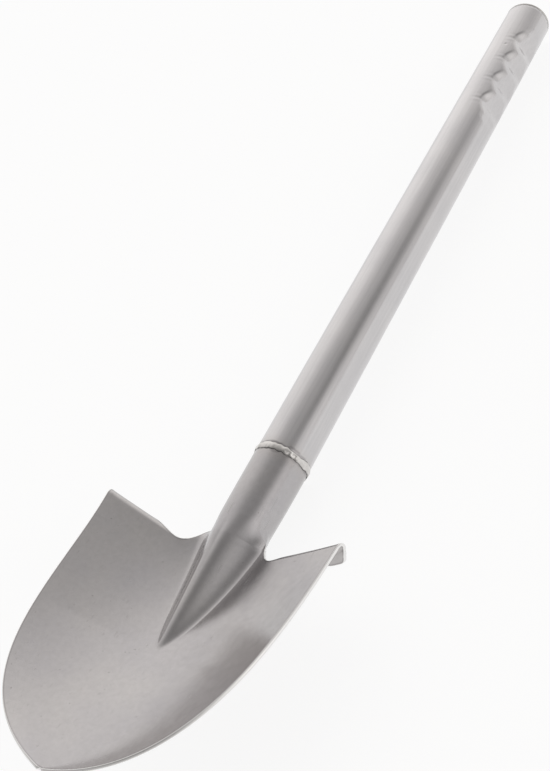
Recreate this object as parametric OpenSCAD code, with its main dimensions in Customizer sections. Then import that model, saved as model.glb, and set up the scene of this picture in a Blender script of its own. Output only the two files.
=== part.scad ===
// Detecting shovel: a pressed blade with a rolled socket, welded to a tubular handle.
// The shovel lies with its digging face up. +Y runs along the handle to its closed end, +Z points
// out of the digging face, and the origin is at the middle of the length, under the joint weld.

/* [Handle] */
// Outside diameter of the handle tube, and of the socket that it is welded to
tube_d = 32; // [26:0.5:38]
// Wall of the handle tube
tube_wall = 1.6; // [1.2:0.1:2.5]
// Length of the handle from the joint to its closed end
handle_len = 397; // [250:1:900]
// Thickness of the disc that closes the handle
cap_t = 3; // [2:0.5:6]
// Edge rounding of the closed end
cap_round = 1.2; // [0.5:0.1:1.2]

/* [Finger dents] */
// Number of dents pressed into the handle for the fingers
dent_count = 4; // [1:1:6]
// Distance from one dent to the next
dent_pitch = 21.5; // [20:0.5:30]
// Distance of the last dent from the closed end
dent_end = 38.5; // [36:1:80]
// Depth of a dent below the tube's surface
dent_depth = 3.2; // [1:0.1:4]
// Length of a dent along the handle
dent_len = 20.5; // [12:0.5:29]
// Angle of the dents round the handle, from the digging side
dent_angle = 75; // [-180:5:180]

/* [Blade] */
// Thickness of the pressed sheet
sheet_t = 1.6; // [1.2:0.1:2.5]
// Width across the shoulders
blade_w = 160; // [120:1:220]
// Length from the shoulder corners to the tip
blade_len = 143; // [110:1:220]
// Distance from the joint to the shoulder corners
socket_len = 54; // [46:1:90]
// Height of the shoulder corners over the tube's axis
corner_rise = 27; // [10:1:45]
// Height of the tip over the tube's axis
tip_rise = 41.5; // [20:0.5:60]
// Angle of the shoulders, rising from the socket to the corners
shoulder_angle = 10.4; // [0:0.2:20]
// Amount that the back of the socket narrows towards its rim
socket_taper = 2; // [0:0.1:3]

/* [Ridge] */
// Length of the ridge that carries the socket's line down the blade, from the joint
ridge_len = 123; // [100:1:170]
// Half width of the ridge where it leaves the socket
ridge_half_w = 23; // [18:0.5:30]
// Drop of the ridge's crest from the socket to its point
ridge_drop = 3.2; // [0:0.1:6]

/* [Step] */
// Outside radius of the bend along each shoulder
step_bend_r = 3.6; // [3:0.1:6]
// Angle that the shoulder is bent backwards
step_bend = 120; // [60:5:135]
// Length of the flat strip behind the bend
step_flat = 6.5; // [2:0.5:12]

/* [Welds] */
// Width of the bead round the joint
bead_w = 6; // [3:0.5:10]
// Height of the bead over the tube
bead_h = 1.2; // [0.5:0.1:2.5]
// Width of the bead that closes the socket's seam
seam_w = 3.4; // [2:0.1:6]
// Height of that bead over the socket
seam_h = 0.6; // [0.3:0.1:1.2]

/* [Hidden] */
$fn = 96;

steel = [0.72, 0.70, 0.67];
weld_metal = [0.60, 0.59, 0.57];

tube_r = tube_d / 2;
bore_r = tube_r - tube_wall;
seam_gap = 0.8;
joint_gap = 1;
cap_weld_t = cap_t - 0.5;
// Where things lie in the part's own frame
axis_z = tube_r + bead_h;
joint_y = (blade_len + socket_len - handle_len) / 2;

// Puts children that are built along +Y from the joint, on the tube's axis, in their place
module on_axis() {
    translate([0, joint_y, axis_z]) children();
}
// Turns children that are built along +Z so that they run along +Y
module along_y(y = 0) {
    translate([0, y, 0]) rotate([-90, 0, 0]) children();
}

function mix(a, b, k) = a + (b - a) * k;
function unit_step(k) = max(0, min(1, k));
function smooth(k) = let (c = unit_step(k)) c * c * (3 - 2 * c);
function bezier(p, t) = pow(1 - t, 3) * p[0] + 3 * t * pow(1 - t, 2) * p[1]
    + 3 * t * t * (1 - t) * p[2] + pow(t, 3) * p[3];

// ---- The blade's surface: [x, s, z], with s the distance from the joint towards the tip ----
half_w = blade_w / 2;
// Side edge, from a shoulder corner to the tip. It is drawn towards two points, each given as a
// share of half_w, a share of blade_len and a height over the nearer end
waist = [0.93, 0.38, 1];
cheek = [1.01, 0.89, 8.7];
side_edge = [
    [half_w, socket_len, corner_rise],
    [half_w * waist.x, socket_len + blade_len * waist.y, corner_rise + waist.z],
    [half_w * cheek.x, socket_len + blade_len * cheek.y, tip_rise + cheek.z],
    [0, socket_len + blade_len, tip_rise]
];
// Share of that edge that the sheet runs to, which leaves the tip a little blunt
tip_t = 0.985;
// The socket starts to spread at round_s, and its rim runs from flank_rim_s to back_rim_s
round_s = socket_len - 13;
flank_rim_s = socket_len - 2;
back_rim_s = socket_len - 9;
flank_angle = 96;
// The shoulder line meets the ridge in a fillet that ends at fillet_x
fillet_x = half_w * 0.46;
fillet_power = 2.6;
flank_s = socket_len + 1;
crest_s = socket_len + 6;
// Length over which the round socket spreads into the blade
spread_len = 17;
// The middle of the dish rises from dish_start, at dish_s, to the tip along a parabola
dish_start = -0.1 * tube_d;
dish_s = 1.8 * tube_d;
dish_slope = 0.184;
dish_run = blade_len + socket_len - dish_s;
dish_curve = (tip_rise - dish_start - dish_slope * dish_run) / pow(dish_run, 2);
// Across, it rises with a power of the distance, which grows from the shoulders down to dish_t
dish_power = [1.1, 1.8];
dish_t = 0.4;
// The ridge's width falls with this power of what is left of its length
ridge_narrowing = 0.6;
// Least share of the half width that the ridge's columns take, and the width of the foot's blend
foot_share = 0.16;
foot_blend = 10;
// Share of the side edge over which the shoulder line's shape dies out
shoulder_fade = 0.6;

// Rows: 0..ROUND round socket, ROUND..SHOULDER the spread, SHOULDER..LAST the blade
ROUND = 9;
SHOULDER = ROUND + 8;
LAST = SHOULDER + 42;
// Columns: 0..FOOT crest to ridge foot, FOOT..SEAM the socket's back, FOOT..EDGE the wing
FOOT = 9;
SEAM = FOOT + 7;
STEP = FOOT + 4;
EDGE = FOOT + 17;
BEND_ROWS = 5;
FLAT_ROWS = 2;
STEP_ROWS = BEND_ROWS + FLAT_ROWS;

function dish_mid(s) = let (q = s - dish_s)
    dish_start + dish_slope * q + dish_curve * q * q;
function dish(x, s, edge, t) = let (power = mix(dish_power[0], dish_power[1], unit_step(t / dish_t)))
    dish_mid(s) + (edge[2] - dish_mid(s)) * pow(abs(x) / edge[0], power);
function ridge_left(s) = unit_step((ridge_len - s) / (ridge_len - flank_s));
function ridge_w(s) = ridge_half_w * pow(ridge_left(s), ridge_narrowing);
function ridge_top(s) = tube_r - ridge_drop * (1 - ridge_left(s));
function ridge(x, s) = let (w = ridge_w(s), h = max(0, ridge_top(s) - dish_mid(s)))
    abs(x) < w ? h * (1 + cos(180 * x / w)) / 2 : 0;
function spread(s) = smooth((s - round_s) / spread_len);
// Half width that the columns from the crest to the foot share
function foot_x(s, edge) = max(ridge_w(s), foot_share * edge[0]);

function shoulder_line(x) = socket_len + (half_w - x) * tan(shoulder_angle);
function fillet_drop(x, x0) = x > fillet_x ? 0
    : (shoulder_line(x0) - flank_s) * pow((fillet_x - x) / (fillet_x - x0), fillet_power);

// s along the row that carries the shoulder line
foot_x0 = mix(tube_r * sin(flank_angle), ridge_w(flank_s), spread(flank_s));
function shoulder_x(j) = mix(foot_x0, half_w, (j - FOOT) / (EDGE - FOOT));
function shoulder_s(j) = j <= FOOT ? mix(crest_s, flank_s, pow(j / FOOT, 2))
    : shoulder_line(shoulder_x(j)) - fillet_drop(shoulder_x(j), foot_x0);

// Points of the ridge, from crest to foot, where the round socket spreads into the blade
function inner_point(j, s, edge, t) = let (
        a = flank_angle * j / FOOT,
        x = foot_x(s, edge) * j / FOOT,
        k = spread(s)
    ) [
        mix(socket_r(a, min(s, flank_rim_s)) * sin(a), x, k),
        s,
        mix(socket_r(a, min(s, flank_rim_s)) * cos(a), dish(x, s, edge, t) + ridge(x, s), k)
    ];
function wing_point(j, s, s_foot, edge, t) = let (
        foot = inner_point(FOOT, s_foot, edge, t),
        x = mix(foot[0], edge[0], (j - FOOT) / (EDGE - FOOT)),
        lift = foot[2] - dish(foot[0], s_foot, edge, t),
        near = pow(max(0, 1 - (x - foot[0]) / foot_blend), 2)
    ) [x, s, dish(x, s, edge, t) + lift * near];

function socket_angle(j) = j <= FOOT ? flank_angle * j / FOOT
    : mix(flank_angle, 180 - asin(seam_gap / tube_d), (j - FOOT) / (SEAM - FOOT));
function rim_s(j) = j <= FOOT ? flank_rim_s
    : mix(flank_rim_s, back_rim_s, pow(sin(90 * (j - FOOT) / (SEAM - FOOT)), 2));
// The section is round, narrows at the back, and follows the spreading foot near its rim
function socket_r(a, s) = tube_r - socket_taper * pow(s / flank_rim_s, 2) * (1 - cos(a)) / 2;
function socket_at(j, s) = let (a = socket_angle(j), r = socket_r(a, s))
    j <= FOOT ? inner_point(j, s, side_edge[0], 0)
    : let (
        foot = inner_point(FOOT, s, side_edge[0], 0),
        r_foot = socket_r(flank_angle, s),
        flare = [foot[0] - r_foot * sin(flank_angle), 0, foot[2] - r_foot * cos(flank_angle)],
        share = pow(1 - (j - FOOT) / (SEAM - FOOT), 2)
    ) [r * sin(a), s, r * cos(a)] + flare * share;
function socket_point(i, j) = socket_at(j, mix(joint_gap / 2, rim_s(j), i / ROUND));

function blade_row_s(j, t, edge) = edge[1]
    + (shoulder_s(j) - socket_len) * pow(max(0, 1 - t / shoulder_fade), 2);
function blade_point(i, j) = let (
        t = tip_t * (i - SHOULDER) / (LAST - SHOULDER),
        edge = bezier(side_edge, t),
        s = blade_row_s(j, t, edge)
    ) j <= FOOT ? inner_point(j, s, edge, t)
        : wing_point(j, s, blade_row_s(FOOT, t, edge), edge, t);

// The step: the shoulder is bent back round step_bend_r, less and less towards the socket.
wing_tilt = atan((corner_rise - dish_start) / half_w);
back_way = [sin(wing_tilt), 0, -cos(wing_tilt)];
// Share of the bend that a column takes, from its least by the socket, over step_fade columns
least_share = 0.05;
step_fade = 8;
function step_share(j) = mix(least_share, 1, smooth((j - STEP) / step_fade));
function step_strip(k, j, length) = let (
        share = step_share(j),
        bend = step_bend * share * min(1, k / BEND_ROWS),
        run = length * share * max(0, k - BEND_ROWS) / FLAT_ROWS,
        r = step_bend_r
    ) blade_point(SHOULDER, j) + back_way * (r * (1 - cos(bend)) + run * sin(bend))
        - [0, r * sin(bend) + run * cos(bend), 0];
// The outer end is rounded: its last strips are shorter, and the last turns in to the one beside it
next_to_end = 0.9 * step_flat;
end_flat = 0.5 * step_flat;
end_turn = 0.65;
function step_point(k, j) = j < EDGE ? step_strip(k, j, j < EDGE - 1 ? step_flat : next_to_end)
    : mix(step_strip(k, j, end_flat), step_strip(k, j - 1, end_flat),
        end_turn * pow(k / STEP_ROWS, 2));

function front_point(i, j) = i <= ROUND ? socket_point(i, j)
    : i >= SHOULDER ? blade_point(i, j)
    : j <= FOOT ? inner_point(j, mix(flank_rim_s, shoulder_s(j), (i - ROUND) / (SHOULDER - ROUND)),
        side_edge[0], 0)
    : step_point(SHOULDER - i, j);

// Which points of the grid the sheet has
function has(i, j) = i < 0 || i > LAST || j > EDGE ? false
    : i <= ROUND ? j <= SEAM
    : i >= SHOULDER ? true
    : j <= FOOT || (j >= STEP && i >= SHOULDER - STEP_ROWS);
function has_cell(i, j) = let (m = max(abs(j), abs(j + 1)))
    i < 0 || i >= LAST || m > EDGE ? false
    : i < ROUND ? m <= SEAM
    : i >= SHOULDER ? true
    : m <= FOOT || (min(abs(j), abs(j + 1)) >= STEP && i >= SHOULDER - STEP_ROWS);
function joined(i, j, i2, j2) = has(i2, j2) && !(min(i, i2) <= ROUND && max(i, i2) > ROUND && j > FOOT)
    && !(min(i, i2) > ROUND && max(i, i2) < SHOULDER && min(j, j2) <= FOOT && max(j, j2) > FOOT);
function pick(i, j, di, dj) = joined(i, j, i + di, j + dj) ? front_point(i + di, j + dj)
    : front_point(i, j);
function front_normal(i, j) = let (
        along = pick(i, j, 1, 0) - pick(i, j, -1, 0),
        inner = j == 0 ? let (p = pick(i, 0, 0, 1)) [-p[0], p[1], p[2]] : pick(i, j, 0, -1),
        across = pick(i, j, 0, 1) - inner,
        n = cross(along, across)
    ) -n / norm(n);
// The step's rounded end keeps the normal of the strip beside it, so that its back doesn't fold
function on_step(i) = i > ROUND && i < SHOULDER;
function back_point(i, j) = front_point(i, j)
    - front_normal(i, on_step(i) ? min(j, EDGE - 1) : j) * sheet_t;

// From [x, s, z] to the frame of on_axis(), on the side that the sign of j says
function placed(p, side) = [side * p[0], -p[1], p[2]];
SPOTS = [for (i = [0:LAST]) for (j = [-EDGE:EDGE]) if (has(i, abs(j))) [i, j]];
ROW_START = [
    for (i = 0, n = 0; i <= LAST; n = n + len([for (j = [-EDGE:EDGE]) if (has(i, abs(j))) j]), i = i + 1)
        n
];
RANK = [for (i = [0:LAST]) [
    for (j = -EDGE, n = 0; j <= EDGE; n = n + (has(i, abs(j)) ? 1 : 0), j = j + 1) n
]];
function id(i, j) = ROW_START[i] + RANK[i][j + EDGE];

module blade_sheet() {
    n = len(SPOTS);
    points = [
        for (q = SPOTS) placed(front_point(q[0], abs(q[1])), q[1] < 0 ? -1 : 1),
        for (q = SPOTS) placed(back_point(q[0], abs(q[1])), q[1] < 0 ? -1 : 1)
    ];
    grid = [for (i = [0:LAST - 1]) for (j = [-EDGE:EDGE - 1]) if (has_cell(i, j)) [i, j]];
    // Listed from mid blade on, where the sheet looks into the open, and then from the start
    middle = round(len(grid) / 2);
    cells = [for (k = [0:len(grid) - 1]) grid[(k + middle) % len(grid)]];
    faces = [
        for (c = cells) let (a = id(c[0], c[1]), b = id(c[0], c[1] + 1),
            d = id(c[0] + 1, c[1]), e = id(c[0] + 1, c[1] + 1)) each [
                [a, b, e], [a, e, d],
                [n + a, n + e, n + b], [n + a, n + d, n + e]
            ],
        for (c = cells) let (i = c[0], j = c[1]) each [
            each !has_cell(i - 1, j) ? wall(id(i, j), id(i, j + 1), n) : [],
            each !has_cell(i + 1, j) ? wall(id(i + 1, j + 1), id(i + 1, j), n) : [],
            each !has_cell(i, j - 1) ? wall(id(i + 1, j), id(i, j), n) : [],
            each !has_cell(i, j + 1) ? wall(id(i, j + 1), id(i + 1, j + 1), n) : []
        ]
    ];
    polyhedron(points, faces);
}
function wall(a, b, n) = [[a, n + b, b], [a, n + a, n + b]];

module blade() {
    color(steel) on_axis() blade_sheet();
}

// ---- Welds ----
// The bead that closes the socket's seam fills the gap and stands over both of its lips. Its sides
// start this far off the lips
seam_toe = 0.1;
SEAM_ROWS = 8;
function seam_ring(k) = let (
        s = mix(bead_w / 2, back_rim_s, k / SEAM_ROWS),
        lip = socket_at(SEAM, s),
        low = socket_r(180, s)
    ) [
        [lip[0], -s, sheet_t - low],
        [lip[0], -s, lip[2]],
        [seam_w / 2, -s, lip[2] + seam_toe],
        [seam_w / 4, -s, -low - seam_h],
        [-seam_w / 4, -s, -low - seam_h],
        [-seam_w / 2, -s, lip[2] + seam_toe],
        [-lip[0], -s, lip[2]],
        [-lip[0], -s, sheet_t - low]
    ];
module socket_seam_weld() {
    rings = [for (k = [0:SEAM_ROWS]) seam_ring(k)];
    n = len(rings[0]);
    color(weld_metal) on_axis() polyhedron(
        [for (r = rings) each r],
        [
            [for (c = [n - 1:-1:0]) c],
            [for (c = [0:n - 1]) SEAM_ROWS * n + c],
            for (k = [0:SEAM_ROWS - 1]) for (c = [0:n - 1]) let (d = (c + 1) % n)
                each [[k * n + c, k * n + d, k * n + n + d], [k * n + c, k * n + n + d, k * n + n + c]]
        ]
    );
}

// The bead's crown, over a root that fills the gap and the handle's bevelled end
module joint_weld() {
    crown_r = (pow(bead_w / 2, 2) + pow(bead_h, 2)) / (2 * bead_h);
    color(weld_metal) on_axis() along_y() {
        rotate_extrude() intersection() {
            translate([tube_r + bead_h - crown_r, 0]) circle(r = crown_r);
            translate([tube_r, -bead_w]) square([crown_r, 2 * bead_w]);
        }
        rotate_extrude() polygon([
            [bore_r, -joint_gap / 2],
            [bore_r, joint_gap / 2],
            [tube_r, bead_w / 2],
            [tube_r + bead_h / 2, 0],
            [tube_r, -joint_gap / 2]
        ]);
    }
}

// ---- Handle ----
// A dent is the mark of a round bar pressed across the tube
dent_bar_r = (pow(dent_len / 2, 2) + pow(dent_depth, 2)) / (2 * dent_depth);
module dent_bars(grow) {
    for (k = [0:dent_count - 1])
        rotate([0, dent_angle, 0])
            translate([0, handle_len - dent_end - k * dent_pitch, tube_r - dent_depth + dent_bar_r])
                rotate([0, 90, 0]) cylinder(r = dent_bar_r + grow, h = 2 * tube_d, center = true);
}
// The end that is welded to the socket is bevelled as far as the bead's edge
module handle_tube() {
    wall_end = handle_len - cap_weld_t;
    color(steel) on_axis() difference() {
        along_y() rotate_extrude() polygon([
            [0, joint_gap / 2],
            [bore_r, joint_gap / 2],
            [tube_r, bead_w / 2],
            [tube_r, wall_end],
            [0, wall_end]
        ]);
        dent_bars(0);
        difference() {
            along_y() cylinder(r = bore_r, h = handle_len);
            dent_bars(tube_wall);
        }
    }
}

// ---- Closed end ----
module end_cap() {
    color(steel) on_axis() along_y(handle_len - cap_t) cylinder(r = bore_r, h = cap_t);
}
// The weld round the disc stands on the tube's rim and is ground to a round edge
module end_cap_weld() {
    color(weld_metal) on_axis() along_y(handle_len - cap_weld_t) rotate_extrude() {
        translate([bore_r, 0]) square([tube_wall - cap_round, cap_weld_t]);
        translate([bore_r, 0]) square([tube_wall, cap_weld_t - cap_round]);
        intersection() {
            translate([tube_r - cap_round, cap_weld_t - cap_round]) circle(r = cap_round);
            translate([bore_r, 0]) square([tube_wall, cap_weld_t]);
        }
    }
}

blade();
socket_seam_weld();
joint_weld();
handle_tube();
end_cap();
end_cap_weld();
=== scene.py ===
import math

import bpy
import numpy as np
from mathutils import Matrix, Vector
from mathutils.kdtree import KDTree


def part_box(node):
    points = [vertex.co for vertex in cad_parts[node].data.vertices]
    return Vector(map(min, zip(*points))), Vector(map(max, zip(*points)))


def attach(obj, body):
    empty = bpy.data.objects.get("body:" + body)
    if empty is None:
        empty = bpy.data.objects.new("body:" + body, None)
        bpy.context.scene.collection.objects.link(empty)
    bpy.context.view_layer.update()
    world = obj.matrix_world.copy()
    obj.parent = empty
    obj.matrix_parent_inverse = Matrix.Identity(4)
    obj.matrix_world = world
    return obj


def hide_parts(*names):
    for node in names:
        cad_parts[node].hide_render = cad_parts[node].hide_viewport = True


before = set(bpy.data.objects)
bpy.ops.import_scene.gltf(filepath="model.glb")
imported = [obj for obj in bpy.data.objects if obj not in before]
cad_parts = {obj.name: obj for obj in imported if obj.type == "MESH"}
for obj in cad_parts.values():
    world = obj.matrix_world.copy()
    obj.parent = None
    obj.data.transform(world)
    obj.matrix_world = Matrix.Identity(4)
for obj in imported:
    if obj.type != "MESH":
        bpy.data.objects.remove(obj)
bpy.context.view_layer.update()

# A detecting shovel: a pressed blade with a rolled socket, welded to a tubular handle.
# Lengths in this script are in millimetres up to the moment a mesh is made, which is in metres.
MM = 0.001


# ---- Sizes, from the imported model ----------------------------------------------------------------

def span(node):
    """A node's lowest and highest corners in millimetres."""
    low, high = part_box(node)
    return [c / MM for c in low], [c / MM for c in high]


bead_low, bead_high = span("joint_weld")
tube_low, tube_high = span("handle_tube")
cap_low, cap_high = span("end_cap")

TUBE_R = (tube_high[0] - tube_low[0]) / 2
AXIS_Z = (bead_low[2] + bead_high[2]) / 2
JOINT_Y = (bead_low[1] + bead_high[1]) / 2
HANDLE_LEN = cap_high[1] - JOINT_Y
BEAD_H = (bead_high[0] - bead_low[0]) / 2 - TUBE_R
BEAD_W = bead_high[1] - bead_low[1]
CAP_T = cap_high[1] - cap_low[1]
CAP_R = (cap_high[0] - cap_low[0]) / 2
TUBE_WALL = TUBE_R - CAP_R

# The blade's own proportions, the same as the CAD sheet's
SHEET_T = 1.6
EDGE_ROUND = 0.35
HALF_W = 80.0 - EDGE_ROUND
BLADE_LEN = 142.2
SOCKET_LEN = 54.0
CORNER_RISE = 27.0
TIP_RISE = 41.3
SHOULDER_ANGLE = 10.4
SOCKET_TAPER = 2.0
RIDGE_LEN = 123.0
RIDGE_HALF_W = 23.0
RIDGE_DROP = 3.2
STEP_BEND_R = 3.6
STEP_BEND = 120.0
STEP_FLAT = 6.5
STEP_CORNER = 2.4
# Columns over which the step fades in, and over which its outer end is rounded
STEP_FADE = 40
STEP_END = 6
# Least share of the bend, beside the socket, and what is left of the flat at the outer end
LEAST_SHARE = 0.02
END_SHARE = 0.35
SEAM_GAP = 0.8
JOINT_GAP = 1.0


# ---- Small tools ---------------------------------------------------------------------------------

def mix(a, b, k):
    return a + (b - a) * k


def smooth(k):
    c = np.clip(k, 0, 1)
    return c * c * (3 - 2 * c)


def placed(points):
    """From [x, s, z] round the tube's axis, s towards the tip, to the model's frame in metres."""
    p = np.asarray(points, float)
    out = np.stack([p[..., 0], JOINT_Y - p[..., 1], AXIS_Z + p[..., 2]], -1)
    return out * MM


def mesh_object(name, vertices, faces, attributes=None):
    """A smooth-shaded mesh object, with any values per vertex as named attributes."""
    mesh = bpy.data.meshes.new(name)
    mesh.from_pydata([tuple(v) for v in vertices], [], [tuple(int(i) for i in f) for f in faces])
    mesh.update()
    mesh.polygons.foreach_set("use_smooth", [True] * len(mesh.polygons))
    for key, values in (attributes or {}).items():
        layer = mesh.attributes.new(key, "FLOAT", "POINT")
        layer.data.foreach_set("value", np.asarray(values, float).ravel())
    obj = bpy.data.objects.new(name, mesh)
    bpy.context.scene.collection.objects.link(obj)
    return obj


def wobble(x, period, terms=5, seed=0):
    """A smooth random wave of about unit height that repeats over period."""
    random = np.random.default_rng(seed)
    total = 0 * np.asarray(x, float)
    for n in range(1, terms + 1):
        phase, height = random.uniform(0, 2 * np.pi), random.uniform(0.5, 1)
        total = total + height * np.sin(2 * np.pi * n * np.asarray(x) / period + phase)
    return total / math.sqrt(terms)


def ring_faces(rows, columns, close_rows=False):
    """Quads of a grid whose columns close round."""
    last = rows if close_rows else rows - 1
    return [
        (i * columns + j, i * columns + (j + 1) % columns,
         (i + 1) % rows * columns + (j + 1) % columns, (i + 1) % rows * columns + j)
        for i in range(last) for j in range(columns)
    ]


def round_axis(r, y, angle):
    """Points round the tube's axis in metres: angle is 0 on the digging side and grows towards +X."""
    return placed(np.stack([r * np.sin(angle), -y, r * np.cos(angle)], -1))


# ---- The blade's surface -------------------------------------------------------------------------

TIP_T = 0.994
DISH_POWER = (1.1, 1.8)
DISH_T = 0.4
RIDGE_NARROWING = 0.6
FOOT_SHARE = 0.16
FOOT_BLEND = 10
FILLET_POWER = 2.6
SHOULDER_FADE = 0.6
ROUND_S = SOCKET_LEN - 13
FLANK_RIM_S = SOCKET_LEN - 2
BACK_RIM_S = SOCKET_LEN - 9
FLANK_S = SOCKET_LEN + 1
CREST_S = SOCKET_LEN + 6
FLANK_ANGLE = math.radians(96)
FILLET_X = HALF_W * 0.46
SPREAD_LEN = 17.0
TUBE_D = 2 * TUBE_R
DISH_START = -0.1 * TUBE_D
DISH_SLOPE = 0.184
DISH_RUN = BLADE_LEN + SOCKET_LEN - 1.8 * TUBE_D
DISH_CURVE = (TIP_RISE - DISH_START - DISH_SLOPE * DISH_RUN) / DISH_RUN**2
SIDE_EDGE = np.array([
    [HALF_W, SOCKET_LEN, CORNER_RISE],
    [HALF_W * 0.93, SOCKET_LEN + BLADE_LEN * 0.38, CORNER_RISE + 1],
    [HALF_W * 1.01, SOCKET_LEN + BLADE_LEN * 0.89, TIP_RISE + 8.7],
    [0, SOCKET_LEN + BLADE_LEN, TIP_RISE],
])


def side_edge(t):
    t = np.asarray(t, float)[..., None]
    p = SIDE_EDGE
    return (1 - t) ** 3 * p[0] + 3 * t * (1 - t) ** 2 * p[1] + 3 * t * t * (1 - t) * p[2] + t**3 * p[3]


def dish_mid(s):
    q = s - 1.8 * TUBE_D
    return DISH_START + DISH_SLOPE * q + DISH_CURVE * q * q


def dish(x, s, edge, t):
    power = mix(*DISH_POWER, np.clip(t / DISH_T, 0, 1))
    middle = dish_mid(s)
    return middle + (edge[..., 2] - middle) * (np.abs(x) / edge[..., 0]) ** power


def ridge_left(s):
    return np.clip((RIDGE_LEN - s) / (RIDGE_LEN - FLANK_S), 0, 1)


def ridge_w(s):
    return RIDGE_HALF_W * ridge_left(s) ** RIDGE_NARROWING


def ridge(x, s):
    w = np.maximum(ridge_w(s), 1e-6)
    top = TUBE_R - RIDGE_DROP * (1 - ridge_left(s))
    h = np.maximum(0, top - dish_mid(s))
    return np.where(np.abs(x) < w, h * (1 + np.cos(np.pi * np.clip(x / w, -1, 1))) / 2, 0)


def spread(s):
    return smooth((s - ROUND_S) / SPREAD_LEN)


def socket_r(a, s):
    return TUBE_R - SOCKET_TAPER * (s / FLANK_RIM_S) ** 2 * (1 - np.cos(a)) / 2


def inner_point(u, s, edge, t):
    """The ridge and the socket's front: u is 0 on the crest and 1 at the ridge's foot."""
    a = FLANK_ANGLE * u
    x = np.maximum(ridge_w(s), FOOT_SHARE * edge[..., 0]) * u
    r = socket_r(a, np.minimum(s, FLANK_RIM_S))
    k = spread(s)
    z = dish(x, s, edge, t) + ridge(x, s)
    return np.stack([mix(r * np.sin(a), x, k), s + 0 * x, mix(r * np.cos(a), z, k)], -1)


def wing_point(v, s, s_foot, edge, t):
    """A wing: v is 0 at the ridge's foot and 1 at the side edge."""
    foot = inner_point(np.ones_like(v), s_foot, edge, t)
    x = mix(foot[..., 0], edge[..., 0], v)
    lift = foot[..., 2] - dish(foot[..., 0], s_foot, edge, t)
    near = np.maximum(0, 1 - (x - foot[..., 0]) / FOOT_BLEND) ** 2
    return np.stack([x, s, dish(x, s, edge, t) + lift * near], -1)


def shoulder_line(x):
    return SOCKET_LEN + (HALF_W - x) * math.tan(math.radians(SHOULDER_ANGLE))


def spread_foot(s):
    r = socket_r(FLANK_ANGLE, min(s, FLANK_RIM_S))
    return float(mix(r * math.sin(FLANK_ANGLE), ridge_w(s), spread(s)))


FOOT_X = spread_foot(FLANK_S)


def shoulder_s(c, columns):
    """s along the shoulder line, for a column given as a share of the row."""
    foot, edge = columns
    inner = np.minimum(c / foot, 1)
    v = np.maximum(0, (c - foot) / (edge - foot))
    x = mix(FOOT_X, HALF_W, v)
    drop = np.where(x > FILLET_X, 0,
        (shoulder_line(FOOT_X) - FLANK_S)
        * (np.maximum(0, FILLET_X - x) / (FILLET_X - FOOT_X)) ** FILLET_POWER)
    return np.where(c <= foot, mix(CREST_S, FLANK_S, inner**2), shoulder_line(x) - drop)


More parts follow.
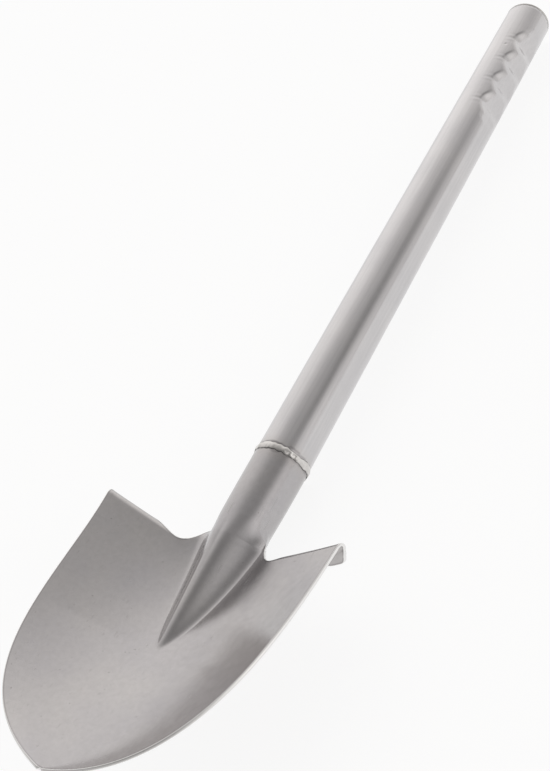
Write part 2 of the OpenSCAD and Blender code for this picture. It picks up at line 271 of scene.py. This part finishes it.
class BladeGrid:
    """The sheet's front face as a grid of points, mirrored across x = 0."""

    def __init__(self):
        self.foot, self.seam, self.step, self.edge = 28, 48, 33, 84
        self.round, self.step_rows = 36, 16
        self.bend_rows = 11
        self.shoulder = self.round + 22
        self.last = self.shoulder + 130
        self.c = np.arange(0, self.edge + 1)

    def row(self, i):
        """Points of row i for columns 0..edge, and which of them exist."""
        c = self.c
        if i <= self.round:
            return self.socket_row(i), c <= self.seam
        if i >= self.shoulder:
            return self.blade_row(i), c >= 0
        points = self.spread_row(i)
        k = self.shoulder - i
        exists = c <= self.foot
        if k <= self.step_rows:
            points = np.where((c >= self.step)[:, None], self.step_row(k), points)
            exists = exists | (c >= self.step)
        return points, exists

    def socket_row(self, i):
        c = self.c
        back = np.clip((c - self.foot) / (self.seam - self.foot), 0, 1)
        rim = np.where(c <= self.foot, FLANK_RIM_S,
            mix(FLANK_RIM_S, BACK_RIM_S, np.sin(np.pi / 2 * back) ** 2))
        s = mix(JOINT_GAP / 2, rim, i / self.round)
        edge = np.broadcast_to(SIDE_EDGE[0], (len(c), 3))
        inner = inner_point(np.minimum(c / self.foot, 1), s, edge, 0 * s)
        last_angle = math.pi - math.asin(SEAM_GAP / TUBE_D)
        a = mix(FLANK_ANGLE, last_angle, back)
        r = socket_r(a, s)
        foot = inner_point(np.ones_like(s), s, edge, 0 * s)
        r_foot = socket_r(FLANK_ANGLE, s)
        share = (1 - back) ** 2
        x = r * np.sin(a) + (foot[:, 0] - r_foot * math.sin(FLANK_ANGLE)) * share
        z = r * np.cos(a) + (foot[:, 2] - r_foot * math.cos(FLANK_ANGLE)) * share
        outer = np.stack([x, s, z], -1)
        return np.where((c <= self.foot)[:, None], inner, outer)

    def spread_row(self, i):
        c = self.c
        s = mix(FLANK_RIM_S, shoulder_s(c, (self.foot, self.edge)),
            (i - self.round) / (self.shoulder - self.round))
        edge = np.broadcast_to(SIDE_EDGE[0], (len(c), 3))
        return inner_point(np.minimum(c / self.foot, 1), s, edge, 0 * s)

    def blade_row(self, i):
        c = self.c
        t = TIP_T * (i - self.shoulder) / (self.last - self.shoulder)
        edge = np.broadcast_to(side_edge(t), (len(c), 3))
        lift = max(0, 1 - t / SHOULDER_FADE) ** 2
        s = edge[:, 1] + (shoulder_s(c, (self.foot, self.edge)) - SOCKET_LEN) * lift
        t_all = np.full(len(c), t)
        inner = inner_point(np.minimum(c / self.foot, 1), s, edge, t_all)
        v = np.maximum(0, (c - self.foot) / (self.edge - self.foot))
        wing = wing_point(v, s, np.full(len(c), s[self.foot]), edge, t_all)
        return np.where((c <= self.foot)[:, None], inner, wing)

    def step_row(self, k):
        c = self.c
        top = self.blade_row(self.shoulder)
        tilt = math.atan((CORNER_RISE - DISH_START) / HALF_W)
        back = np.array([math.sin(tilt), 0, -math.cos(tilt)])
        share = mix(LEAST_SHARE, 1, smooth((c - self.step) / STEP_FADE))
        bend = np.radians(STEP_BEND) * share * min(1, k / self.bend_rows)
        flat = max(0, k - self.bend_rows) / (self.step_rows - self.bend_rows)
        to_end = np.clip(1 - (self.edge - c) / STEP_END, 0, 1)
        round_end = np.sqrt(np.maximum(1 - to_end**2, END_SHARE))
        run = STEP_FLAT * share**3 * round_end * flat
        pull = STEP_CORNER * to_end**2 * (k / self.step_rows) ** 2
        across = STEP_BEND_R * (1 - np.cos(bend)) + run * np.sin(bend)
        along = STEP_BEND_R * np.sin(bend) + run * np.cos(bend)
        move = back * across[:, None] + np.stack([-pull, -along, 0 * along], -1)
        return top + move


def sheet_mesh():
    """The sheet's front face as quads, with a normal at each vertex."""
    grid = BladeGrid()
    rows = [grid.row(i) for i in range(grid.last + 1)]
    half = np.array([r[0] for r in rows])
    exists = np.array([r[1] for r in rows])
    mirror = np.array([-1, 1, 1])
    points = np.concatenate([half[:, :0:-1] * mirror, half], 1)
    there = np.concatenate([exists[:, :0:-1], exists], 1)
    column = np.abs(np.arange(-grid.edge, grid.edge + 1))
    outer = np.maximum(column[:-1], column[1:])
    inner = np.minimum(column[:-1], column[1:])

    cell = there[:-1, :-1] & there[1:, :-1] & there[:-1, 1:] & there[1:, 1:]
    row = np.arange(grid.last)[:, None]
    cell &= ~((row == grid.round) & (outer > grid.foot))
    cell &= ~((row > grid.round) & (row < grid.shoulder) & (inner < grid.step) & (outer > grid.foot))

    index = np.full(there.shape, -1)
    used = np.zeros(there.shape, bool)
    for di in (0, 1):
        for dj in (0, 1):
            used[di:di + cell.shape[0], dj:dj + cell.shape[1]] |= cell
    index[used] = np.arange(used.sum())
    front = points[used]
    ij = np.argwhere(cell)
    quads = np.stack([index[ij[:, 0], ij[:, 1]], index[ij[:, 0], ij[:, 1] + 1],
        index[ij[:, 0] + 1, ij[:, 1] + 1], index[ij[:, 0] + 1, ij[:, 1]]], 1)

    normal = np.zeros_like(front)
    across = front[quads[:, 2]] - front[quads[:, 0]]
    down = front[quads[:, 3]] - front[quads[:, 1]]
    flat = np.cross(across, down)
    flat /= np.linalg.norm(flat, axis=1)[:, None] + 1e-12
    for k in range(4):
        np.add.at(normal, quads[:, k], flat)
    normal /= np.linalg.norm(normal, axis=1)[:, None] + 1e-12
    if normal[index[grid.shoulder + 20, grid.edge + 40], 2] < 0:
        normal = -normal
        quads = quads[:, ::-1]
    return front, quads, normal


def rim_edges(quads):
    """Directed edges that only one quad has."""
    edges = np.concatenate([quads[:, [k, (k + 1) % 4]] for k in range(4)])
    have = {tuple(e) for e in edges.tolist()}
    return np.array([e for e in edges.tolist() if (e[1], e[0]) not in have])


def near_rim(front, rim, reach):
    """1 on the rim, falling to 0 at reach."""
    tree = KDTree(len(rim))
    for k, v in enumerate(rim[:, 0]):
        tree.insert(front[v], k)
    tree.balance()
    return np.array([max(0, 1 - tree.find(p)[2] / reach) for p in front])


# Strips round the sheet's rim, and how square its section is
RIM_STEPS = 5
RIM_SQUARE = 0.55
RIM_REACH = 2.2


def make_blade():
    front, quads, normal = sheet_mesh()
    back = front - normal * SHEET_T
    rim = rim_edges(quads)
    n = len(front)
    outward = np.zeros_like(front)
    tangent = front[rim[:, 1]] - front[rim[:, 0]]
    for end in (0, 1):
        np.add.at(outward, rim[:, end], np.cross(tangent, normal[rim[:, end]]))
    on_rim = np.unique(rim)
    outward[on_rim] /= np.linalg.norm(outward[on_rim], axis=1)[:, None] + 1e-12
    vertices = [front, back]
    order = np.full(n, -1)
    order[on_rim] = np.arange(len(on_rim))
    for k in range(1, RIM_STEPS):
        angle = math.pi * k / RIM_STEPS
        middle = (front[on_rim] + back[on_rim]) / 2
        half = (front[on_rim] - back[on_rim]) / 2
        along = math.copysign(abs(math.cos(angle)) ** RIM_SQUARE, math.cos(angle))
        out = EDGE_ROUND * math.sin(angle) ** RIM_SQUARE
        vertices.append(middle + half * along + outward[on_rim] * out)
    faces = quads.tolist() + (quads[:, ::-1] + n).tolist()

    def layer(k, v):
        return v if k == 0 else n + v if k == RIM_STEPS else 2 * n + (k - 1) * len(on_rim) + order[v]

    for a, b in rim:
        for k in range(RIM_STEPS):
            faces.append((layer(k, b), layer(k, a), layer(k + 1, a), layer(k + 1, b)))
    edge = near_rim(front, rim, RIM_REACH)
    attribute = np.concatenate([edge, edge, np.ones((RIM_STEPS - 1) * len(on_rim))])
    return mesh_object("blade_sheet", placed(np.concatenate(vertices)), faces, {"rim": attribute})


# ---- The handle ----------------------------------------------------------------------------------

BORE_R = TUBE_R - TUBE_WALL
DENT_COUNT = 4
DENT_PITCH = 21.5
DENT_LAST = HANDLE_LEN - 38.5
DENT_DEPTH = 3.2
DENT_ANGLE = math.radians(75)
DENT_LIP = 3.0
# Dark hollow at each dent's near end, and the wrinkles beside it
TIP_ANGLE, TIP_SPREAD = math.radians(41), math.radians(11)
TIP_LENGTH, TIP_DEPTH = 4.2, 0.3
WRINKLE_ANGLE, WRINKLE_SPREAD = math.radians(24), math.radians(13)
WRINKLE_PITCH, WRINKLE_DEPTH = 4.2, 0.07
PIT_Y, PIT_ANGLE, PIT_DEPTH = 350, math.radians(20), 0.35
UNDERCUT, UNDERCUT_WIDTH = 0.22, 0.35
SEAM_W, SEAM_H = 3.4, 0.6
DOME = 0.45
END_ROUND = 1.6
WELD_WIDTH = 2.5


def bead_edges(angle):
    """Where the joint bead's two edges lie, y on the socket's side and on the handle's."""
    middle = 0.4 * wobble(angle, 2 * np.pi, 6, 11)
    half = 2.3 + 0.6 * wobble(angle, 2 * np.pi, 7, 5) + 0.4 * wobble(angle, 2 * np.pi, 30, 8)
    half = np.clip(half, 0.75, 2.9)
    reach = BEAD_W / 2 - 0.05
    return np.clip(middle - half, -reach, -0.6), np.clip(middle + half, 0.6, reach)


def soft_min(a, b, width):
    """The smaller of two values, with a rounded change-over."""
    k = np.clip(0.5 + (b - a) / (2 * width), 0, 1)
    return mix(b, a, k) - width * k * (1 - k)


def dent_profile(y):
    """1 in the middle of a dent, 0 on the crests beside it, and below 0 past the first and the last."""
    first = DENT_LAST - (DENT_COUNT - 0.5) * DENT_PITCH
    last = DENT_LAST + DENT_PITCH / 2
    inside = (0.5 + 0.5 * np.cos(2 * np.pi * (y - DENT_LAST) / DENT_PITCH)) ** 0.7
    beyond = np.maximum(0, np.maximum(first - y, y - last)) / DENT_PITCH
    return np.where(beyond > 0, -((2.7 * beyond) ** 2), inside)


def tube_radius(y, angle):
    """The handle's outside, with its finger dents, the wrinkles beside them and the weld's undercut."""
    r = TUBE_R + 0 * y
    turn = np.cos(angle - DENT_ANGLE)
    floor = TUBE_R - DENT_DEPTH * dent_profile(y)
    r = soft_min(r, np.where(turn > 0.3, floor / np.maximum(turn, 0.3), 4 * TUBE_R), DENT_LIP)
    for k in range(DENT_COUNT):
        from_middle = y - (DENT_LAST - k * DENT_PITCH)
        beside = np.exp(-((angle - WRINKLE_ANGLE) / WRINKLE_SPREAD) ** 2)
        wave = np.cos(2 * np.pi * (from_middle + 1) / WRINKLE_PITCH)
        ripple = wave * np.exp(-((from_middle + 1) / 4.5) ** 2)
        r = r - WRINKLE_DEPTH * beside * (1 + ripple) * np.exp(-((from_middle + 1) / 5) ** 2)
        tip = np.exp(-((angle - TIP_ANGLE) / TIP_SPREAD) ** 2 - (from_middle / TIP_LENGTH) ** 2)
        r = r - TIP_DEPTH * tip
    r = r - PIT_DEPTH * np.exp(-((y - PIT_Y) ** 2 + (TUBE_R * (angle - PIT_ANGLE)) ** 2) / 0.5)
    toe = bead_edges(angle)[1]
    return r - UNDERCUT * np.exp(-((y - toe) / UNDERCUT_WIDTH) ** 2)


def make_tube():
    columns = 224
    angle = np.linspace(-np.pi, np.pi, columns, endpoint=False)
    weld_end = HANDLE_LEN - WELD_WIDTH
    dents_from, dents_to = DENT_LAST - DENT_COUNT * DENT_PITCH, DENT_LAST + DENT_PITCH
    rows = np.concatenate([
        np.arange(BEAD_W / 2 - 2.4, 7, 0.4), np.arange(7, dents_from, 6),
        np.arange(dents_from, dents_to, 0.55), np.linspace(dents_to + 2, weld_end, 8)])
    rows = np.unique(rows.round(2))
    rows = rows[np.append(True, np.diff(rows) > 0.1)]
    outer = [(tube_radius(np.full(columns, y), angle), y) for y in rows]
    inner = [(np.minimum(BORE_R, tube_radius(np.full(columns, y), angle) - TUBE_WALL), y)
        for y in np.concatenate([rows[-1:], rows[-2::-5]])]
    inner[-1] = (np.full(columns, BORE_R), JOINT_GAP / 2)
    rings = outer + inner
    vertices = np.concatenate([round_axis(r, np.full(columns, y), angle) for r, y in rings])
    return mesh_object("handle_tube_drawn", vertices, ring_faces(len(rings), columns, True))


def make_joint_bead():
    columns, across = 420, 17
    angle = np.linspace(-np.pi, np.pi, columns, endpoint=False)
    low, high = bead_edges(angle)
    height = 0.72 + 0.24 * wobble(angle, 2 * np.pi, 13, 3)
    rings, toe = [], []
    for u in np.linspace(-1, 1, across):
        y = mix(low, high, (u + 1) / 2)
        crown = (1 - abs(u) ** 2.2) ** 0.7
        ripple = 0.035 * np.cos(angle * 38 + 2.2 * u**2 + 4.0 * wobble(angle, 2 * np.pi, 9, 21))
        lumps = 0.17 * wobble(angle + 0.06 * u, 2 * np.pi, 30, 17)
        r = TUBE_R + np.clip(crown * (height + ripple + lumps), -0.05, BEAD_H - 0.03)
        rings.append((r, y))
        toe.append(np.clip((abs(u) - 0.72) / 0.2, 0, 1) * np.ones(columns))
    gap = JOINT_GAP / 2 + 0 * angle
    for r, y in ((TUBE_R - 0.3, high), (TUBE_R - 0.6, gap), (BORE_R, gap), (BORE_R, -gap),
            (TUBE_R - 0.6, -gap), (TUBE_R - 0.3, low)):
        rings.append((r + 0 * angle, y))
        toe.append(np.ones(columns))
    vertices = np.concatenate([round_axis(r, y, angle) for r, y in rings])
    return mesh_object("joint_bead", vertices, ring_faces(len(rings), columns, True),
        {"toe": np.concatenate(toe)})


def make_seam_bead():
    """The bead along the back of the socket, a row of small overlapping ripples."""
    rows, across = 150, 13
    vertices, toe = [], []
    s_from, s_to = BEAD_W / 2, BACK_RIM_S
    for k in range(rows):
        s = mix(s_from, s_to, k / (rows - 1))
        low = TUBE_R - SOCKET_TAPER * (s / FLANK_RIM_S) ** 2
        half = SEAM_W / 2 * (0.86 + 0.09 * wobble(s, 60, 9, 4))
        for u in np.linspace(-1, 1, across):
            crown = (1 - abs(u) ** 2.4) ** 0.7
            ripple = 0.1 * math.cos(s * 3.1 + 1.6 * u * u)
            rise = min(crown * (0.42 + ripple + 0.06 * wobble(s + u, 60, 25, 6)), SEAM_H)
            drop = low - math.sqrt(low**2 - (half * u) ** 2)
            vertices.append((half * u, s, -(low - drop + rise - 0.04)))
            toe.append(np.clip((abs(u) - 0.75) / 0.2, 0, 1))
        for x in (SEAM_GAP / 2, -SEAM_GAP / 2):
            vertices.append((x, s, -(low - SHEET_T + 0.1)))
            toe.append(1)
    columns = across + 2
    faces = ring_faces(rows, columns)
    faces += [tuple(range(columns))[::-1], tuple((rows - 1) * columns + c for c in range(columns))]
    return mesh_object("seam_bead", placed(vertices), faces, {"toe": toe})


def make_end():
    """The disc that closes the handle, slightly domed, and the ground weld round it."""
    columns = 192
    angle = np.linspace(-np.pi, np.pi, columns, endpoint=False)
    turned = {}
    disc = [(0.02, HANDLE_LEN - CAP_T)] + [(BORE_R, HANDLE_LEN - CAP_T), (BORE_R, HANDLE_LEN - DOME)]
    disc += [(BORE_R * k, HANDLE_LEN - DOME * k**2 - 0.02) for k in (0.93, 0.8, 0.6, 0.4, 0.2, 0.002)]
    weld_y = HANDLE_LEN - WELD_WIDTH
    arc = [math.radians(a) for a in range(0, 91, 10)]
    weld = [(BORE_R - 0.05, weld_y), (TUBE_R - 0.02, weld_y)]
    weld += [(TUBE_R - END_ROUND * (1 - math.cos(a)),
        HANDLE_LEN - 0.05 - END_ROUND * (1 - math.sin(a))) for a in arc]
    weld += [(BORE_R - 0.5, HANDLE_LEN - 0.3), (BORE_R - 0.5, HANDLE_LEN - 0.8)]
    for name, profile in (("end_disc", disc), ("end_bead", weld)):
        rings = []
        for k, (r, y) in enumerate(profile):
            lump = 0.05 * wobble(angle + k, 2 * np.pi, 14, 30) if name == "end_bead" and k > 1 else 0
            rings.append(round_axis(r - np.abs(lump) + 0 * angle, y + 0 * angle, angle))
        closed = name == "end_bead"
        faces = ring_faces(len(rings), columns, closed)
        if not closed:
            faces += [tuple(range(columns))[::-1],
                tuple((len(rings) - 1) * columns + c for c in range(columns))]
        turned[name] = mesh_object(name, np.concatenate(rings), faces)
    return turned["end_disc"], turned["end_bead"]


# ---- Materials -----------------------------------------------------------------------------------

class Nodes:
    """Short calls for building a node tree."""

    def __init__(self, tree):
        self.tree = tree

    def add(self, kind, **settings):
        node = self.tree.nodes.new(kind)
        for key, value in settings.items():
            setattr(node, key, value)
        return node

    def set(self, socket, value):
        if isinstance(value, bpy.types.NodeSocket):
            self.tree.links.new(value, socket)
        elif isinstance(value, (tuple, list)) and len(value) == 3 and socket.type == "RGBA":
            socket.default_value = (*value, 1)
        else:
            socket.default_value = value

    def math(self, operation, a, b=0.0, c=0.0, clamp=False):
        node = self.add("ShaderNodeMath", operation=operation, use_clamp=clamp)
        for k, value in enumerate((a, b, c)):
            self.set(node.inputs[k], value)
        return node.outputs[0]

    def vector(self, operation, a, b=None, out=0):
        node = self.add("ShaderNodeVectorMath", operation=operation)
        self.set(node.inputs[0], a)
        if b is not None:
            self.set(node.inputs[1], b)
        return node.outputs[out]

    def scaled(self, vector, scale):
        return self.vector("MULTIPLY", vector, scale)

    def noise(self, vector, scale, detail=4.0, roughness=0.5):
        node = self.add("ShaderNodeTexNoise")
        self.set(node.inputs["Vector"], vector)
        self.set(node.inputs["Scale"], scale)
        self.set(node.inputs["Detail"], detail)
        self.set(node.inputs["Roughness"], roughness)
        return node.outputs["Fac"]

    def ramp(self, value, low, high, to_low=0.0, to_high=1.0):
        node = self.add("ShaderNodeMapRange")
        for k, v in enumerate((value, low, high, to_low, to_high)):
            self.set(node.inputs[k], v)
        return node.outputs[0]

    def blend(self, factor, a, b, mode="MIX"):
        node = self.add("ShaderNodeMix", data_type="RGBA", blend_type=mode)
        self.set(node.inputs["Factor"], factor)
        self.set(node.inputs["A"], a)
        self.set(node.inputs["B"], b)
        return node.outputs["Result"]

    def attribute(self, name):
        return self.add("ShaderNodeAttribute", attribute_name=name).outputs["Fac"]

    def grey(self, value):
        node = self.add("ShaderNodeCombineColor")
        for k in range(3):
            self.set(node.inputs[k], value)
        return node.outputs[0]


def metal(name, colour, tint, rough, grain, bump, mottle, extra=None):
    """Satin metal: grain is the grain's frequency along x, y and z, and extra may add marks."""
    material = bpy.data.materials.new(name)
    material.use_nodes = True
    n = Nodes(material.node_tree)
    shader = material.node_tree.nodes["Principled BSDF"]
    place = n.add("ShaderNodeTexCoord").outputs["Object"]
    lines = n.noise(n.scaled(place, grain), 1.0, 3.0, 0.6)
    clouds = n.noise(place, mottle, 4.0, 0.55)
    spots = n.noise(place, mottle * 9, 2.0, 0.5)
    base = n.blend(n.ramp(clouds, 0.3, 0.7), colour, tint)
    shade = n.math("MULTIPLY_ADD", n.ramp(lines, 0.2, 0.8, -0.05, 0.05), 1.0, 1.0)
    base = n.blend(1.0, base, n.grey(shade), "MULTIPLY")
    roughness = n.math("ADD", n.ramp(clouds, 0.3, 0.7, rough - 0.04, rough + 0.05),
        n.ramp(spots, 0.35, 0.65, -0.02, 0.02))
    if extra:
        base, roughness = extra(n, place, base, roughness)
    relief = n.add("ShaderNodeBump")
    n.set(relief.inputs["Strength"], 1.0)
    n.set(relief.inputs["Distance"], bump * MM)
    n.set(relief.inputs["Height"], n.math("ADD", lines, n.math("MULTIPLY", spots, 0.6)))
    n.set(shader.inputs["Base Color"], base)
    n.set(shader.inputs["Metallic"], 1.0)
    n.set(shader.inputs["Roughness"], roughness)
    n.set(shader.inputs["Normal"], relief.outputs[0])
    return material


def from_joint(n, place):
    """How far a point is from the joint along the handle, in millimetres."""
    node = n.add("ShaderNodeSeparateXYZ")
    n.set(node.inputs[0], place)
    return n.math("ABSOLUTE", n.math("DIVIDE", n.math("SUBTRACT", node.outputs["Y"], JOINT_Y * MM), MM))


def weld_heat(n, place, base, roughness):
    """Straw and grey-violet tints that die out within a thumb's width of the joint."""
    ragged = n.math("MULTIPLY_ADD", n.noise(place, 160.0, 3.0), 5.0, -2.5)
    distance = n.math("ADD", from_joint(n, place), ragged)
    base = n.blend(n.ramp(distance, 8.0, 2.5, 0.0, 0.10), base, (0.40, 0.33, 0.25))
    base = n.blend(n.ramp(distance, 3.5, 2.6, 0.0, 0.35), base, (0.13, 0.12, 0.13))
    return base, roughness


def sheet_marks(n, place, base, roughness):
    """Heat tints at the joint, a painted shade line just inside the rim, a painted highlight on the rim
    and a few soil scratches.
    """
    base, roughness = weld_heat(n, place, base, roughness)
    rim = n.attribute("rim")
    # Painted shade: a dark line just inside the sheet's rim, where the cut edge falls into shade
    painted_edge_shade = n.math("MULTIPLY", n.ramp(rim, 0.55, 0.85), n.ramp(rim, 0.999, 0.9))
    base = n.blend(n.math("MULTIPLY", painted_edge_shade, 0.45), base, (0.16, 0.15, 0.15))
    # Painted highlight: the rounded rim is made nearly white, as if its edge catches the light
    base = n.blend(n.ramp(rim, 0.97, 1.0), base, (0.80, 0.79, 0.78))
    scratches = n.noise(n.scaled(place, (900.0, 60.0, 900.0)), 1.0, 1.0, 0.4)
    pits = n.noise(place, 700.0, 1.0, 0.3)
    base = n.blend(n.ramp(scratches, 0.70, 0.78, 0.0, 0.25), base, (0.30, 0.29, 0.28))
    base = n.blend(n.ramp(pits, 0.76, 0.82, 0.0, 0.5), base, (0.16, 0.15, 0.14))
    roughness = n.math("ADD", roughness, n.ramp(scratches, 0.70, 0.78, 0.0, 0.08))
    return base, roughness


def bead_marks(n, place, base, roughness):
    """Dark oxide along both toes of a bead, in patches."""
    toe = n.attribute("toe")
    patch = n.ramp(n.noise(place, 420.0, 2.0), 0.35, 0.6, 0.55, 1.0)
    dark = n.math("MULTIPLY", toe, patch)
    base = n.blend(dark, base, (0.035, 0.032, 0.034))
    return base, n.math("ADD", roughness, n.math("MULTIPLY", dark, 0.35))


def end_rings(n, place, base, roughness):
    """Fine rings of the grinding disc."""
    node = n.add("ShaderNodeSeparateXYZ")
    n.set(node.inputs[0], place)
    high = n.math("SUBTRACT", node.outputs["Z"], AXIS_Z * MM)
    radius = n.math("SQRT", n.math("ADD", n.math("MULTIPLY", node.outputs["X"], node.outputs["X"]),
        n.math("MULTIPLY", high, high)))
    wave = n.math("SINE", n.math("MULTIPLY", radius, 9000.0))
    base = n.blend(n.ramp(wave, -1.0, 1.0, 0.0, 0.12), base, (0.25, 0.24, 0.23))
    return base, n.math("ADD", roughness, n.ramp(wave, -1.0, 1.0, -0.03, 0.04))


# ---- Assembly ------------------------------------------------------------------------------------

sheet_metal = metal("sheet_metal", (0.47, 0.452, 0.445), (0.44, 0.425, 0.43), 0.18,
    (350.0, 350.0, 350.0), 0.012, 22.0, sheet_marks)
tube_metal = metal("tube_metal", (0.60, 0.583, 0.582), (0.56, 0.547, 0.552), 0.14,
    (900.0, 14.0, 900.0), 0.010, 30.0, weld_heat)
bead_metal = metal("bead_metal", (0.74, 0.72, 0.70), (0.56, 0.54, 0.52), 0.18,
    (500.0, 500.0, 500.0), 0.03, 120.0, bead_marks)
end_metal = metal("end_metal", (0.58, 0.56, 0.535), (0.52, 0.50, 0.48), 0.24,
    (400.0, 400.0, 400.0), 0.012, 60.0, end_rings)


def fit(piece, node, material):
    piece.data.materials.append(material)
    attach(piece, "root")
    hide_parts(node)


end_disc, end_bead = make_end()
fit(make_blade(), "blade", sheet_metal)
fit(make_tube(), "handle_tube", tube_metal)
fit(make_joint_bead(), "joint_weld", bead_metal)
fit(make_seam_bead(), "socket_seam_weld", bead_metal)
fit(end_disc, "end_cap", end_metal)
fit(end_bead, "end_cap_weld", end_metal)


# ---- Camera, floor and lights --------------------------------------------------------------------

AZIMUTH, ELEVATION, ROLL = (math.radians(d) for d in (55.110, 39.489, -35.677))
AIM = Vector((-34.73, -49.52, 17.39)) * MM
DISTANCE = 597.22 * MM


def direction(azimuth, elevation):
    """A unit vector: azimuth 0 is -Y and grows towards +X."""
    flat = math.cos(elevation)
    return Vector((math.sin(azimuth) * flat, -math.cos(azimuth) * flat, math.sin(elevation)))


def make_camera():
    data = bpy.data.cameras.new("camera")
    data.sensor_width = 36
    data.lens = 46.69
    camera = bpy.data.objects.new("camera", data)
    bpy.context.scene.collection.objects.link(camera)
    away = direction(AZIMUTH, ELEVATION)
    camera.location = AIM + away * DISTANCE
    level = (-away).to_track_quat("-Z", "Y").to_matrix()
    camera.rotation_mode = "QUATERNION"
    camera.rotation_quaternion = (level @ Matrix.Rotation(ROLL, 3, "Z")).to_quaternion()
    bpy.context.scene.camera = camera


def make_floor():
    size = 6
    corners = [(-size, -size, 0), (size, -size, 0), (size, size, 0), (-size, size, 0)]
    floor = mesh_object("floor", corners, [(0, 1, 2, 3)])
    material = bpy.data.materials.new("floor")
    material.use_nodes = True
    shader = material.node_tree.nodes["Principled BSDF"]
    shader.inputs["Base Color"].default_value = (0.25, 0.25, 0.25, 1)
    shader.inputs["Roughness"].default_value = 0.9
    shader.inputs["Specular IOR Level"].default_value = 0.0
    shader.inputs["Emission Color"].default_value = (1, 1, 1, 1)
    shader.inputs["Emission Strength"].default_value = FLOOR_GLOW
    floor.data.materials.append(material)


# The studio is a pale tent: each soft patch has a direction, a tightness and a brightness
SKY_LEVEL, SKY_SLOPE = 0.59, -0.60
PATCHES = (
    ((-146, 37), 1.88, 0.87),
    ((96, 22), 11.7, 0.73),
    ((127, 33), 27.0, -0.31),
    ((-174, 66), 12.0, -0.09),
)
FLOOR_GLOW = 0.83


def make_world():
    world = bpy.data.worlds.new("studio")
    world.use_nodes = True
    n = Nodes(world.node_tree)
    look = n.vector("NORMALIZE", n.add("ShaderNodeTexCoord").outputs["Generated"])
    high = n.add("ShaderNodeSeparateXYZ")
    n.set(high.inputs[0], look)
    level = n.math("MULTIPLY_ADD", high.outputs["Z"], SKY_SLOPE, SKY_LEVEL)
    for (azimuth, elevation), tight, bright in PATCHES:
        toward = direction(math.radians(azimuth), math.radians(elevation))
        near = n.math("SUBTRACT", n.vector("DOT_PRODUCT", look, tuple(toward), out=1), 1.0)
        patch = n.math("EXPONENT", n.math("MULTIPLY", near, tight))
        level = n.math("MULTIPLY_ADD", patch, bright, level)
    level = n.math("MAXIMUM", level, 0.03)
    background = world.node_tree.nodes["Background"]
    n.set(background.inputs["Color"], n.blend(1.0, (1.0, 0.985, 0.975), n.grey(level), "MULTIPLY"))
    n.set(background.inputs["Strength"], 1.0)
    bpy.context.scene.world = world


make_camera()
make_floor()
make_world()
bpy.context.scene.view_settings.view_transform = "Standard"
